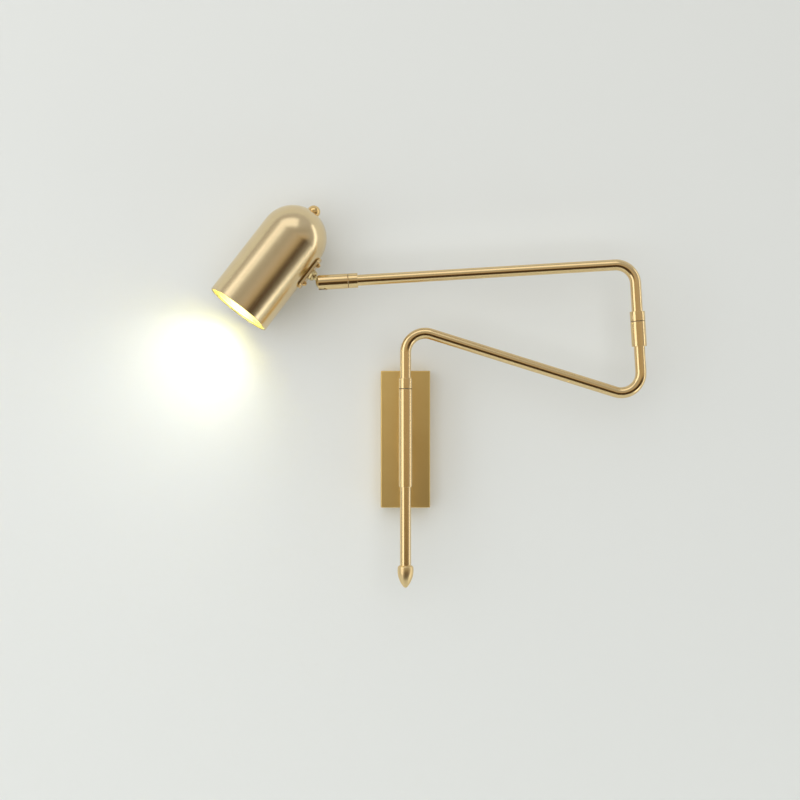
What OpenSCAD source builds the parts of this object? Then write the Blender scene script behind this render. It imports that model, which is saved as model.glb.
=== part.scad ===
// Swing-arm wall lamp: a wall canopy carries a post sleeve, in which a bent arm tube swings.
// A second arm folds back over the first from an elbow, and its end holds a bullet shade on a ball.
// Millimetres. +Z is up, the wall is the plane y = 0, and the room is on the side of -Y.
// The origin is the middle of the canopy on the wall.

/* [Canopy] */
// Width of the canopy
canopy_w = 45; // [40:1:80]
// Height of the canopy
canopy_h = 125; // [118:1:200]
// Depth of the canopy, from the wall to its front
canopy_d = 20; // [19:1:40]
// Thickness of the canopy's sheet
canopy_t = 1.2; // [0.8:0.1:1.6]
// Bevel round the canopy's front
canopy_bevel = 0.6; // [0.2:0.1:1]

/* [Mounting strap] */
// Width of the strap behind the canopy
strap_w = 28; // [24:1:34]
// Thickness of the strap
strap_t = 2; // [1.5:0.1:2.5]
// Depth of the tabs that the canopy is screwed to
tab_d = 11; // [9:0.5:14]
// Distance between the two slots for the wall screws
slot_pitch = 84; // [78:1:90]
// Length of each slot, end to end
slot_l = 12; // [8:1:14]
// Width of each slot
slot_w = 4.5; // [3.5:0.1:5.5]
// Diameter of the cable entry
entry_d = 14; // [10:1:16]
// Height of the cable entry below the middle
entry_drop = 22; // [18:1:24]

/* [Canopy fasteners and wiring] */
// Diameter of the canopy screws
canopy_screw_d = 3; // [2.5:0.1:4]
// Diameter of their heads
canopy_head_d = 5.2; // [4.6:0.1:6]
// Height of their heads
canopy_head_h = 1.2; // [0.8:0.1:2]
// Width of the terminal block
terminal_w = 17; // [14:1:22]
// Height of the terminal block
terminal_h = 14; // [10:1:18]
// Depth of the terminal block
terminal_d = 10; // [9:0.5:12]
// Height of the terminal block's lower edge above the middle
terminal_z = 16; // [14:1:20]
// Diameter of the wire holes in the terminal block
terminal_hole_d = 3; // [2:0.1:3.4]
// Diameter of the earth screw
earth_d = 4; // [3:0.5:5]
// Diameter of the earth screw's head
earth_head_d = 7; // [6:0.1:8]
// Height of the earth screw's head
earth_head_h = 2; // [1.4:0.1:2.6]
// Height of the earth screw below the middle
earth_drop = 6; // [4:0.5:8]
// Diameter of the cable in the tubes
cable_d = 4; // [3:0.1:4.6]
// Bend radius of the cable behind the canopy
cable_bend = 6; // [4:0.5:7]

/* [Post] */
// Gap between the canopy's front and the post sleeve
stand_off = 16; // [10:1:40]
// Outer diameter of the post sleeve and its ring
sleeve_d = 12.4; // [12:0.1:14]
// Length of the post sleeve above the stem
sleeve_up = 45.7; // [30:0.1:55]
// Length of the post sleeve below the stem
sleeve_down = 42.6; // [34:0.1:55]
// Length of the ring above the sleeve
post_ring_l = 9.5; // [7:0.1:14]
// Rounding of the ring's upper edge
ring_round = 1; // [0.4:0.1:1]
// Chamfer on the ends of sleeves and rings
edge_chamfer = 0.3; // [0.1:0.1:0.5]
// Outer diameter of the stem between the canopy and the sleeve
stem_d = 10; // [9:0.1:11]
// Diameter of the stem's threaded end
stem_thread_d = 8; // [7.4:0.1:8.4]
// Bore of the stem
stem_bore_d = 5.4; // [5:0.1:5.8]
// Width of the stem nut across its corners
stem_nut_d = 15; // [12:0.5:18]
// Thickness of the stem nut
stem_nut_h = 3; // [2:0.1:3.2]
// Length of the stem past its nut
stem_spare = 1.5; // [0.5:0.1:2]
// Diameter of the stem washer
stem_washer_d = 18; // [14:0.5:22]
// Height of the stop screw below the stem
stop_drop = 26; // [16:1:28]
// Diameter of the stop screw and of the ring's grub screw
grub_d = 3; // [2:0.1:3.4]
// Swing of the lower arm, which the stop screw limits
post_swing = 180; // [90:5:200]

/* [Arm tubes] */
// Outer diameter of the tubes
tube_d = 10; // [9.4:0.1:10.4]
// Wall of the tubes
tube_t = 1; // [0.8:0.1:1.2]
// Bend radius on the tubes' centreline
bend_r = 17.7; // [15:0.1:26]
// Length of the tail below the stem
tail_l = 113.2; // [80:0.1:160]
// Height of the post's corner above the stem, where the centrelines cross
post_rise = 102.4; // [96:0.1:160]
// Length of the lower arm between its corners
lower_arm_l = 223.8; // [120:0.1:320]
// Fall of the lower arm away from the post, in degrees
lower_fall = 17.4083; // [5:0.1:25]
// Length of the upper arm from its corner to the middle of the ball
upper_arm_l = 281.8; // [160:0.1:360]
// Height of the cable window in the lower tube
window_h = 7; // [6:0.5:10]

/* [Finial] */
// Largest diameter of the finial
finial_d = 14.4; // [12:0.1:20]
// Height of the finial's shoulder above its widest place
finial_shoulder = 4.5; // [3.5:0.1:6]
// Radius of the finial's long side
finial_side_r = 23; // [20:0.5:34]
// Radius of the finial's tip
finial_tip_r = 2.5; // [1.5:0.1:4]
// Radius of the finial's upper edge
finial_edge_r = 2; // [0.6:0.1:2.4]
// Length of the spigot in the tube
spigot_l = 8; // [5:0.5:14]

/* [Elbow] */
// Lean of the elbow's axis towards the post, in degrees
elbow_lean = 3.4218; // [0:0.05:8]
// Length of the elbow's axis between the corners of the two arms
elbow_l = 123.3; // [115:0.1:160]
// Height of the elbow's seam above the lower corner
elbow_seam = 71.2; // [66:0.1:76]
// Outer diameter of the elbow's sleeve and ring
elbow_d = 13.6; // [13:0.1:16]
// Length of the elbow's sleeve
elbow_sleeve_l = 22.5; // [21:0.1:26]
// Length of the elbow's ring
elbow_ring_l = 8.6; // [6:0.1:12]
// Depth of the lower tube in the sleeve
elbow_socket = 12; // [9:0.1:12]
// Outer diameter of the elbow's bush
bush_d = 11; // [10.6:0.1:11.4]
// Thickness of the nut on the elbow's spindle
spindle_nut_h = 2.2; // [1.6:0.1:2.4]
// Wall of the hollow spindles at the elbow and the cup
spindle_t = 1.3; // [1:0.1:1.4]
// Length of a spindle in the upper tube
spindle_hold = 6; // [4:0.5:9]
// Thickness of the web that a spindle passes through
ring_web = 2; // [1.4:0.1:3]

/* [Ball joint] */
// Outer diameter of the cup and its ring
cup_d = 13.4; // [13.2:0.1:15]
// Length of the cup
cup_l = 27; // [26.5:0.1:34]
// Length of the cup past the middle of the ball
cup_lip = 3.6; // [3.2:0.1:3.8]
// Length of the ring behind the cup
cup_ring_l = 8.4; // [6:0.1:12]
// Diameter of the ball
ball_d = 11.8; // [11.6:0.05:11.9]
// Opening of the cup's mouth
mouth_d = 10.9; // [10.7:0.05:11.1]
// Width of the cup's side slot
side_slot_w = 6; // [5.2:0.1:6.6]
// Length of the side slot behind the middle of the ball
side_slot_back = 4.2; // [4:0.1:6.4]
// Diameter of the neck at the ball
neck_d = 4.4; // [4:0.1:4.5]
// Bore of the ball and its neck
neck_bore_d = 2.6; // [2:0.1:2.8]
// Diameter of the neck's wide part, just past the cup
neck_foot_d = 8; // [6:0.1:9]
// Height of the shoulder below the wide part
neck_shoulder = 0.6; // [0.4:0.1:1]
// Diameter of the neck's wide end
neck_end_d = 9.4; // [7:0.1:10]
// Diameter of the collar that the bracket seats on
collar_d = 10.8; // [9:0.1:12]
// Thickness of the collar
collar_h = 2.2; // [1.5:0.1:2.6]
// Diameter of the neck's threaded end
neck_thread_d = 6; // [5:0.1:7]
// Length of the swivel plug in the cup
plug_l = 9.4; // [8:0.1:10]
// Length of the ball's seat
seat_l = 4.2; // [3.6:0.1:4.6]
// Wire of the seat spring
spring_wire = 0.8; // [0.5:0.05:0.8]
// Turns of the seat spring
spring_turns = 4; // [3:1:6]
// Thickness of the circlip
circlip_t = 0.8; // [0.6:0.1:1]
// Depth of the circlip's groove in the spindle
circlip_groove = 0.5; // [0.3:0.05:0.6]
// Height of the circlip above the spindle
circlip_lip = 0.75; // [0.5:0.05:0.8]

/* [Head pose] */
// Tilt of the head above the line of the arm, in degrees
head_tilt = 40; // [0:0.1:42]
// Turn of the cup about the arm, in degrees
head_turn = 10; // [-60:1:60]

/* [Bracket] */
// Gap between the middle of the ball and the shade
ball_gap = 15.2; // [15:0.1:18]
// Length of the bracket plate
bracket_l = 33; // [30:0.5:44]
// Width of the bracket plate
bracket_w = 10; // [9.5:0.1:12]
// Thickness of the bracket plate
bracket_t = 2.5; // [2:0.1:2.8]
// Distance between the bracket screws
screw_pitch = 20.5; // [18:0.1:24]
// Diameter of the bracket screws
screw_d = 2.5; // [2:0.1:3]
// Diameter of their heads
screw_head_d = 4.2; // [3.8:0.1:5]
// Height of their heads
screw_head_h = 2.4; // [1.6:0.1:2.6]
// Thickness of the nuts inside the shade
inner_nut_h = 2; // [1.5:0.1:2.6]
// Width of the neck's nut across its corners
neck_nut_d = 11; // [9:0.1:12]
// Thickness of the saddle washer at its middle
saddle_t = 1; // [0.6:0.1:1.6]

/* [Shade] */
// Outer diameter of the shade
shade_d = 61; // [58:0.5:80]
// Length of the shade from its mouth to its top
shade_l = 112; // [108:0.5:140]
// Wall of the shade
shade_t = 1; // [0.8:0.1:1.4]
// Drop of the bracket's middle below the foot of the dome
bracket_drop = 16.7; // [13:0.1:26]
// Height of the hem inside the mouth
hem_h = 2; // [1:0.1:4]
// Thickness of the hem
hem_t = 0.8; // [0.4:0.1:1.2]
// Diameter of the round cap nut on top
cap_nut_d = 11.8; // [11.4:0.1:16]
// Height of the cap nut's rim
cap_rim_h = 0.7; // [0.5:0.1:2]

/* [Lampholder and bulb] */
// Diameter of the nipple that holds the lampholder
nipple_d = 9.8; // [9:0.1:10]
// Bore of the nipple
nipple_bore_d = 7; // [5:0.1:7.4]
// Length of the nipple in the cap nut
nipple_in_cap = 2; // [1:0.1:2.2]
// Width of the lock nut across its corners
lock_nut_d = 14; // [13:0.5:18]
// Thickness of the lock nut
lock_nut_h = 3; // [2:0.1:4]
// Diameter of the lampholder
holder_d = 27; // [24:0.5:28]
// Length of the lampholder
holder_l = 34; // [33:0.5:38]
// Diameter of the lampholder's neck
holder_neck_d = 20; // [18:0.5:22]
// Length of the lampholder's neck
holder_neck_l = 9; // [8:0.5:11]
// Thickness of the floor above its chamber
holder_floor = 4.6; // [4:0.1:5]
// Outer diameter of the screw shell
shell_d = 15.4; // [15.2:0.1:16.5]
// Diameter of the bulb's cap
bulb_cap_d = 13.8; // [13:0.1:14]
// Length of the bulb's cap in the holder
bulb_cap_l = 17; // [15:0.5:18]
// Height of the contact on the cap's end
bulb_tip_h = 1.5; // [1:0.1:2.5]
// Radius of the contacts
contact_r = 4; // [3:0.1:5]
// Thickness of the holder's contact
contact_t = 0.8; // [0.5:0.1:0.9]
// Diameter of the bulb
bulb_d = 45; // [40:0.5:46]
// Length of the bulb below the lampholder
bulb_l = 52; // [50:0.5:56]
// Wall of the bulb's glass
glass_t = 1; // [0.6:0.1:1.4]
// Diameter of the leads in the head
lead_d = 2.2; // [1.6:0.1:2.4]
// Bend radius of the leads
lead_bend = 3; // [2:0.5:4]
// Straight length of the leads before their first bend
lead_in = 2; // [1:0.1:2.5]

/* [Fits] */
// Gap round a piece that turns in another
run_gap = 0.06; // [0.02:0.01:0.08]
// Gap round a piece that is fixed in another
seat_gap = 0.03; // [0.02:0.01:0.05]
// Free gap between pieces that pass each other
free_gap = 0.3; // [0.3:0.05:0.5]
// Thickness of the washers in the seams
washer_t = 0.4; // [0.3:0.1:0.6]

/* [Hidden] */
$fn = 96;

brass = "#b8975a";
steel = "#a8a8a4";
nylon = "#3a3833";
porcelain = "#ece9e0";
opal = "#fff6e0";
over = 1; // how far a cut runs past what it cuts
poles = 3;
spring_sides = 6;
spring_steps = 16; // in each turn
clip_gap = 40; // degrees
rim_flat = 0.1;

tube_r = tube_d / 2;
bore_r = tube_r - tube_t;
cable_r = cable_d / 2;
spindle_r = bore_r - seat_gap;
spindle_bore_r = spindle_r - spindle_t;

// Behind the canopy, measured along Y
post_y = -(canopy_d + stand_off + sleeve_d / 2);
strap_h = canopy_h - 2 * canopy_t - 2 * free_gap;
canopy_screw_y = -(strap_t + tab_d) / 2;
stem_end_y = -canopy_d + canopy_t + washer_t + stem_nut_h + stem_spare;
terminal_y = -strap_t - terminal_d / 2;

// Corners where the tubes' centrelines cross, and the turn at each
corner_1 = [0, post_y, post_rise];
corner_2 = corner_1 + lower_arm_l * [cos(lower_fall), 0, -sin(lower_fall)];
corner_3 = corner_2 + elbow_l * [-sin(elbow_lean), 0, cos(elbow_lean)];
turn_1 = -90 - lower_fall;
turn_2 = 90 + elbow_lean + lower_fall;
turn_3 = 90;
function tangent_l(turn) = bend_r * tan(abs(turn) / 2);

// Stations on the post's axis, above the stem
post_ring_z = sleeve_up + washer_t;
ring_screw_z = post_ring_z + post_ring_l / 2;

// Stations on the elbow's axis, above the lower corner
sleeve_base = elbow_seam - elbow_sleeve_l;
lower_tube_end = sleeve_base + elbow_socket;
spindle_foot = lower_tube_end + free_gap;
bush_base = spindle_foot + spindle_nut_h + free_gap;
elbow_ring_base = elbow_seam + washer_t;
upper_tube_start = elbow_ring_base + ring_web;

// Stations on the upper arm's axis, behind the middle of the ball
cup_seam = cup_l - cup_lip;
cup_ring_face = cup_seam + washer_t;
upper_tube_end = cup_ring_face + ring_web;
plug_face = cup_seam - plug_l;
circlip_back = plug_face - run_gap;
seat_front = ball_d / 4;
seat_back = seat_front + seat_l;
cup_bore_r = ball_d / 2 + run_gap + seat_gap;
// The mouth closes round the ball where the bore's round end has the mouth's radius
mouth_z = sqrt(pow(cup_bore_r, 2) - pow(mouth_d / 2, 2));

// Stations on the neck's axis, past the middle of the ball
flare_start = sqrt(pow(cup_d / 2, 2) + pow(cup_lip, 2)) + run_gap;
bracket_face = ball_gap - seat_gap - bracket_t;
collar_face = bracket_face - run_gap - collar_h;
shade_r = shade_d / 2;
inner_r = shade_r - shade_t;
// How far a round wall curves away behind a flat face laid on its inside
function sagitta(r, half_w) = r - sqrt(r * r - half_w * half_w);
saddle_face = ball_gap + shade_t + sagitta(inner_r, neck_nut_d / 2) + saddle_t;
neck_end = saddle_face + run_gap + inner_nut_h + free_gap;
bracket_nut_face = ball_gap + shade_t + sagitta(inner_r, screw_d) + seat_gap;

// Stations on the shade's axis, above its mouth
dome_z = shade_l - shade_r;
bracket_z = dome_z - bracket_drop;
lock_nut_top = dome_z + sqrt(pow(inner_r, 2) - pow(lock_nut_d / 2, 2)) - seat_gap;
holder_top = lock_nut_top - lock_nut_h;
holder_mouth = holder_top - holder_l;
bulb_top = holder_mouth - free_gap;
bulb_cap_top = bulb_top + bulb_cap_l;
chamber_top = holder_top - holder_floor;
lead_entry_z = chamber_top - lead_d;

// Frame on the elbow's axis, with +Z along it
module on_elbow(station) {
    translate(corner_2) rotate([0, -elbow_lean, 0]) translate([0, 0, station]) children();
}

// Frame on the upper arm's axis, with +Z towards the ball
module behind_ball(station) {
    translate(corner_3) rotate([0, -90 - elbow_lean, 0])
        translate([0, 0, upper_arm_l - station]) rotate([0, 0, head_turn]) children();
}

// Frame on the neck, with +Z from the ball to the shade and +X towards the shade's top
module on_neck(station) {
    behind_ball(0) rotate([0, head_tilt, 0]) translate([0, 0, station]) children();
}

// Frame on the shade's axis, with +Z from its mouth to its top and +X towards the ball
module on_shade(station) {
    on_neck(ball_gap + shade_r) rotate([0, 90, 0]) translate([0, 0, station - bracket_z]) children();
}

module ring_2d(r_out, r_in) {
    difference() {
        circle(r_out);
        circle(r_in);
    }
}

module pipe(r_out, r_in, h) {
    linear_extrude(h) ring_2d(r_out, r_in);
}

// Sleeve with a chamfer round each end
module chamfered_sleeve(r_out, r_in, h) {
    c = edge_chamfer;
    rotate_extrude() polygon([[r_in, 0], [r_out - c, 0], [r_out, c], [r_out, h - c],
        [r_out - c, h], [r_in, h]]);
}

// One bend of a 2D shape, towards -X where the turn is above 0
module bend(radius, turn) {
    mirror([turn < 0 ? 1 : 0, 0, 0]) translate([-radius, 0, 0]) rotate([90, 0, 0]) {
        rotate_extrude(angle = min(90, abs(turn))) translate([radius, 0]) children();
        if (abs(turn) > 90)
            rotate([0, 0, 90]) rotate_extrude(angle = abs(turn) - 90)
                translate([radius, 0]) children();
    }
}

module after_bend(radius, turn) {
    side = turn < 0 ? radius : -radius;
    translate([side, 0, 0]) rotate([0, -turn, 0]) translate([-side, 0, 0]) children();
}

// Straights and bends of a 2D shape, from +Z on; each leg is [length, turn after it]
module run(legs, radius, i = 0) {
    linear_extrude(legs[i][0]) children();
    if (legs[i][1] != 0) translate([0, 0, legs[i][0]]) {
        bend(radius, legs[i][1]) children();
        after_bend(radius, legs[i][1]) run(legs, radius, i + 1) children();
    }
}

// Screw with a low round head above z = 0 and its shank below
module slotted_screw(head_d, head_h, shank_d, shank_l) {
    crown_r = (pow(head_d / 2, 2) + pow(head_h, 2)) / (2 * head_h);
    difference() {
        intersection() {
            cylinder(d = head_d, h = head_h);
            translate([0, 0, head_h * 1.2 - crown_r]) sphere(crown_r);
        }
        translate([-head_d, -head_d / 12, head_h * 0.5]) cube([2 * head_d, head_d / 6, head_h]);
    }
    translate([0, 0, -shank_l]) cylinder(d = shank_d, h = shank_l);
}

// Headless screw along +Z with a hex socket in its outer end
module grub_screw(length) {
    difference() {
        cylinder(d = grub_d - 2 * seat_gap, h = length);
        translate([0, 0, length - grub_d / 3]) cylinder(d = grub_d / 2, h = grub_d, $fn = 6);
    }
}

module hex_nut(across, h, hole_r) {
    difference() {
        cylinder(d = across, h = h, $fn = 6);
        translate([0, 0, -over]) cylinder(r = hole_r, h = h + 2 * over);
    }
}

// Half section of the canopy across its width or its height
module bevelled_2d(width) {
    b = canopy_bevel;
    polygon([[-width / 2, 0], [-width / 2, b - canopy_d], [b - width / 2, -canopy_d],
        [width / 2 - b, -canopy_d], [width / 2, b - canopy_d], [width / 2, 0]]);
}

module canopy() {
    color(brass) difference() {
        intersection() {
            linear_extrude(canopy_h, center = true) bevelled_2d(canopy_w);
            rotate([0, 90, 0]) linear_extrude(canopy_w, center = true) bevelled_2d(canopy_h);
        }
        translate([canopy_t - canopy_w / 2, canopy_t - canopy_d, canopy_t - canopy_h / 2])
            cube([canopy_w - 2 * canopy_t, canopy_d, canopy_h - 2 * canopy_t]);
        translate([0, canopy_t + over - canopy_d, 0]) rotate([90, 0, 0])
            cylinder(d = stem_thread_d + 2 * seat_gap, h = canopy_t + 2 * over);
        translate([0, canopy_screw_y, -canopy_h / 2 - over])
            cylinder(d = canopy_screw_d + 2 * seat_gap, h = canopy_h + 2 * over);
    }
}

module wall_slot_2d() {
    for (end = [-1, 1]) translate([0, end * (slot_l - slot_w) / 2]) circle(d = slot_w);
    square([slot_w, slot_l - slot_w], center = true);
}

module mounting_strap() {
    color(steel) difference() {
        union() {
            translate([-strap_w / 2, -strap_t, -strap_h / 2]) cube([strap_w, strap_t, strap_h]);
            for (end = [-strap_h / 2, strap_h / 2 - strap_t])
                translate([-strap_w / 2, -tab_d, end]) cube([strap_w, tab_d, strap_t]);
        }
        rotate([90, 0, 0]) translate([0, 0, -over]) linear_extrude(strap_t + 2 * over) {
            for (side = [-1, 1]) translate([0, side * slot_pitch / 2]) wall_slot_2d();
            translate([0, -entry_drop]) circle(d = entry_d);
            translate([0, -earth_drop]) circle(d = earth_d + 2 * seat_gap);
        }
        translate([0, canopy_screw_y, -strap_h / 2 - over])
            cylinder(d = canopy_screw_d + 2 * seat_gap, h = strap_h + 2 * over);
    }
}

module canopy_screws() {
    shank = canopy_t + free_gap + strap_t + over;
    color(brass) for (side = [0, 1]) mirror([0, 0, side]) translate([0, canopy_screw_y, canopy_h / 2])
        slotted_screw(canopy_head_d, canopy_head_h, canopy_screw_d, shank);
}

module earth_screw() {
    color(brass) translate([0, -strap_t, -earth_drop]) rotate([90, 0, 0])
        slotted_screw(earth_head_d, earth_head_h, earth_d, strap_t);
}

module terminal_block() {
    pole_w = terminal_w / poles;
    color(porcelain) translate([0, terminal_y, terminal_z]) difference() {
        translate([-terminal_w / 2, -terminal_d / 2, 0]) cube([terminal_w, terminal_d, terminal_h]);
        for (i = [0 : poles - 1]) translate([(i - (poles - 1) / 2) * pole_w, 0, 0]) {
            translate([0, 0, -over]) cylinder(d = terminal_hole_d, h = terminal_h + 2 * over);
            for (level = [0.25, 0.75]) translate([0, 0, terminal_h * level]) rotate([90, 0, 0])
                cylinder(d = terminal_hole_d * 1.2, h = terminal_d);
        }
    }
}

// From the post's axis, through the stem, and up to the terminal block
module base_cable() {
    color(nylon) translate([0, post_y, 0]) rotate([-90, 0, 0]) rotate([0, 0, 90])
        run([[terminal_y - cable_bend - post_y, 90], [terminal_z - cable_bend - free_gap, 0]], cable_bend)
            circle(cable_r);
}

module post_stem() {
    color(brass) difference() {
        translate([0, post_y, 0]) rotate([-90, 0, 0]) {
            pipe(stem_d / 2, stem_bore_d / 2, -canopy_d - post_y);
            pipe(stem_thread_d / 2, stem_bore_d / 2, stem_end_y - post_y);
        }
        translate([0, post_y, -stem_d]) cylinder(d = sleeve_d + 2 * seat_gap, h = 2 * stem_d);
    }
}

module stem_washer() {
    color(steel) translate([0, canopy_t - canopy_d, 0]) rotate([-90, 0, 0])
        pipe(stem_washer_d / 2, stem_thread_d / 2 + seat_gap, washer_t);
}

module stem_nut() {
    color(brass) translate([0, canopy_t + washer_t - canopy_d, 0]) rotate([-90, 0, 0])
        hex_nut(stem_nut_d, stem_nut_h, stem_thread_d / 2 + seat_gap);
}

module post_sleeve() {
    color(brass) translate([0, post_y, 0]) difference() {
        translate([0, 0, -sleeve_down])
            chamfered_sleeve(sleeve_d / 2, tube_r + run_gap, sleeve_up + sleeve_down);
        rotate([-90, 0, 0]) cylinder(d = stem_bore_d, h = sleeve_d);
        translate([0, 0, -stop_drop]) rotate([-90, 0, 0]) cylinder(d = grub_d, h = sleeve_d);
    }
}

// Rides in a slot round the tube: it limits the swing and keeps the tube from lifting out
module stop_screw() {
    tip = bore_r + tube_t / 4;
    color(steel) translate([0, post_y + tip, -stop_drop]) rotate([-90, 0, 0])
        grub_screw(sleeve_d / 2 - tip);
}

module post_washer() {
    color(nylon) translate([0, post_y, sleeve_up])
        pipe(sleeve_d / 2 - edge_chamfer, tube_r + run_gap, washer_t - run_gap);
}

// Slot round the lower tube that lets a fixed piece on its wall side pass as it swings
module swing_slot(z, h, half_angle) {
    translate([0, post_y, z - h / 2]) rotate([0, 0, 90 - half_angle])
        rotate_extrude(angle = post_swing + 2 * half_angle) translate([bore_r - over, 0])
            square([tube_t + 2 * over, h]);
}

module lower_arm_tube() {
    post_leg = tail_l + post_rise - tangent_l(turn_1);
    arm_leg = lower_arm_l - tangent_l(turn_1) - tangent_l(turn_2);
    elbow_leg = lower_tube_end - tangent_l(turn_2);
    color(brass) difference() {
        translate([0, post_y, -tail_l])
            run([[post_leg, turn_1], [arm_leg, turn_2], [elbow_leg, 0]], bend_r)
                ring_2d(tube_r, bore_r);
        swing_slot(0, window_h, asin((cable_r + free_gap) / bore_r));
        swing_slot(-stop_drop, grub_d + 2 * free_gap, asin((grub_d / 2 + run_gap) / bore_r));
        translate([0, post_y, ring_screw_z]) rotate([-90, 0, 0]) cylinder(d = grub_d, h = tube_d);
    }
}

module post_ring() {
    r_in = tube_r + seat_gap;
    r_out = sleeve_d / 2;
    edge = min(ring_round, r_out - r_in);
    color(brass) translate([0, post_y, post_ring_z]) difference() {
        rotate_extrude() {
            translate([r_in, 0]) square([r_out - r_in, post_ring_l - edge]);
            intersection() {
                translate([r_out - edge, post_ring_l - edge]) circle(edge);
                translate([r_in, 0]) square([r_out, post_ring_l]);
            }
            if (r_out - r_in > edge)
                translate([r_in, 0]) square([r_out - r_in - edge, post_ring_l]);
        }
        translate([0, 0, post_ring_l / 2]) rotate([-90, 0, 0]) cylinder(d = grub_d, h = sleeve_d);
    }
}

module ring_screw() {
    tip = bore_r + tube_t / 4;
    color(steel) translate([0, post_y + tip, ring_screw_z]) rotate([-90, 0, 0])
        grub_screw(sleeve_d / 2 - tip);
}

// Half outline of the acorn: a long arc with a small round at each end
module finial_2d() {
    side_r = finial_side_r;
    side_x = finial_d / 2 - side_r;
    side_z = -finial_shoulder;
    tip_z = side_z - sqrt(pow(side_r - finial_tip_r, 2) - pow(side_x, 2));
    edge_x = side_x + sqrt(pow(side_r - finial_edge_r, 2) - pow(side_z + finial_edge_r, 2));
    // Where the long arc meets the tip and the upper edge
    low = side_z + (tip_z - side_z) * side_r / (side_r - finial_tip_r);
    high = side_z - (side_z + finial_edge_r) * side_r / (side_r - finial_edge_r);
    intersection() {
        union() {
            intersection() {
                translate([side_x, side_z]) circle(side_r);
                translate([0, low]) square([finial_d, high - low]);
            }
            translate([0, tip_z]) circle(finial_tip_r);
            translate([edge_x, -finial_edge_r]) circle(finial_edge_r);
            translate([0, -finial_shoulder]) square([edge_x, finial_shoulder]);
        }
        translate([0, -2 * side_r]) square([finial_d, 2 * side_r]);
    }
}

module finial() {
    color(brass) translate([0, post_y, -tail_l]) {
        rotate_extrude() finial_2d();
        cylinder(r = bore_r - seat_gap, h = spigot_l);
    }
}

module elbow_sleeve() {
    color(brass) difference() {
        on_elbow(sleeve_base) chamfered_sleeve(elbow_d / 2, tube_r + seat_gap, elbow_sleeve_l);
        on_elbow(lower_tube_end) cylinder(d = bush_d, h = elbow_sleeve_l);
    }
}

module elbow_bush() {
    color(nylon) on_elbow(bush_base)
        pipe(bush_d / 2 - seat_gap, spindle_r + run_gap, elbow_seam - bush_base);
}

module elbow_washer() {
    color(nylon) on_elbow(elbow_seam)
        pipe(elbow_d / 2 - edge_chamfer, spindle_r + run_gap, washer_t - run_gap);
}

module lower_cable() {
    start = cable_r + free_gap;
    color(nylon) translate([0, post_y, start])
        run([[post_rise - tangent_l(turn_1) - start, turn_1],
            [lower_arm_l - tangent_l(turn_1) - tangent_l(turn_2), turn_2],
            [elbow_seam - tangent_l(turn_2), 0]], bend_r) circle(cable_r);
}

module upper_arm_tube() {
    color(brass) on_elbow(upper_tube_start)
        run([[elbow_l - upper_tube_start - tangent_l(turn_3), turn_3],
            [upper_arm_l - upper_tube_end - tangent_l(turn_3), 0]], bend_r) ring_2d(tube_r, bore_r);
}

// Ring on a tube's end, with a web that the spindle passes through
module tube_ring(r_out, h) {
    difference() {
        chamfered_sleeve(r_out, spindle_r + seat_gap, h);
        translate([0, 0, ring_web]) cylinder(r = tube_r + seat_gap, h = h);
    }
}

module elbow_ring() {
    color(brass) on_elbow(elbow_ring_base) tube_ring(elbow_d / 2, elbow_ring_l);
}

module elbow_spindle() {
    color(steel) on_elbow(spindle_foot)
        pipe(spindle_r, spindle_bore_r, upper_tube_start + spindle_hold - spindle_foot);
}

module spindle_nut() {
    color(steel) on_elbow(spindle_foot)
        hex_nut(bush_d - 2 * free_gap, spindle_nut_h, spindle_r + seat_gap);
}

module upper_cable() {
    color(nylon) on_elbow(elbow_seam + free_gap)
        run([[elbow_l - elbow_seam - free_gap - tangent_l(turn_3), turn_3],
            [upper_arm_l - seat_back - tangent_l(turn_3), 0]], bend_r) circle(cable_r);
}

module cup_ring() {
    color(brass) behind_ball(cup_ring_face) mirror([0, 0, 1]) tube_ring(cup_d / 2, cup_ring_l);
}

module cup_spindle() {
    foot = circlip_back - circlip_t - circlip_groove;
    color(steel) behind_ball(upper_tube_end + spindle_hold) difference() {
        pipe(spindle_r, spindle_bore_r, upper_tube_end + spindle_hold - foot);
        translate([0, 0, upper_tube_end + spindle_hold - circlip_back])
            pipe(tube_r, spindle_r - circlip_groove, circlip_t);
    }
}

module cup_circlip() {
    color(steel) behind_ball(circlip_back) rotate([0, 0, clip_gap / 2])
        rotate_extrude(angle = 360 - clip_gap)
            translate([spindle_r - circlip_groove + seat_gap, run_gap])
                square([circlip_groove + circlip_lip, circlip_t - 2 * run_gap]);
}

// The cup's barrel closes round the ball at its mouth; the slot lets the neck swing to a right angle
module ball_cup() {
    cup_r = cup_d / 2;
    color(brass) behind_ball(0) difference() {
        rotate_extrude() difference() {
            rim_r = cup_r - edge_chamfer - rim_flat;
            flare = (rim_r - mouth_d / 2) / (cup_lip - mouth_z);
            polygon([[0, -cup_seam], [cup_r - edge_chamfer, -cup_seam],
                [cup_r, edge_chamfer - cup_seam], [cup_r, cup_lip - edge_chamfer],
                [cup_r - edge_chamfer, cup_lip], [0, cup_lip]]);
            translate([0, -cup_seam - over]) square([cup_bore_r, cup_seam + over]);
            intersection() {
                circle(cup_bore_r);
                square(cup_l);
            }
            polygon([[0, 0], [mouth_d / 2 - flare * mouth_z, 0],
                [rim_r + flare * over, cup_lip + over], [0, cup_lip + over]]);
        }
        slot_axis = side_slot_w / 2 - side_slot_back;
        rotate([0, -90, 0]) linear_extrude(cup_d) {
            translate([slot_axis, 0]) circle(d = side_slot_w);
            translate([slot_axis, -side_slot_w / 2]) square([cup_lip + over - slot_axis, side_slot_w]);
        }
    }
}

module cup_washer() {
    color(nylon) behind_ball(cup_seam) mirror([0, 0, 1])
        pipe(cup_d / 2 - edge_chamfer, spindle_r + run_gap, washer_t - run_gap);
}

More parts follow.
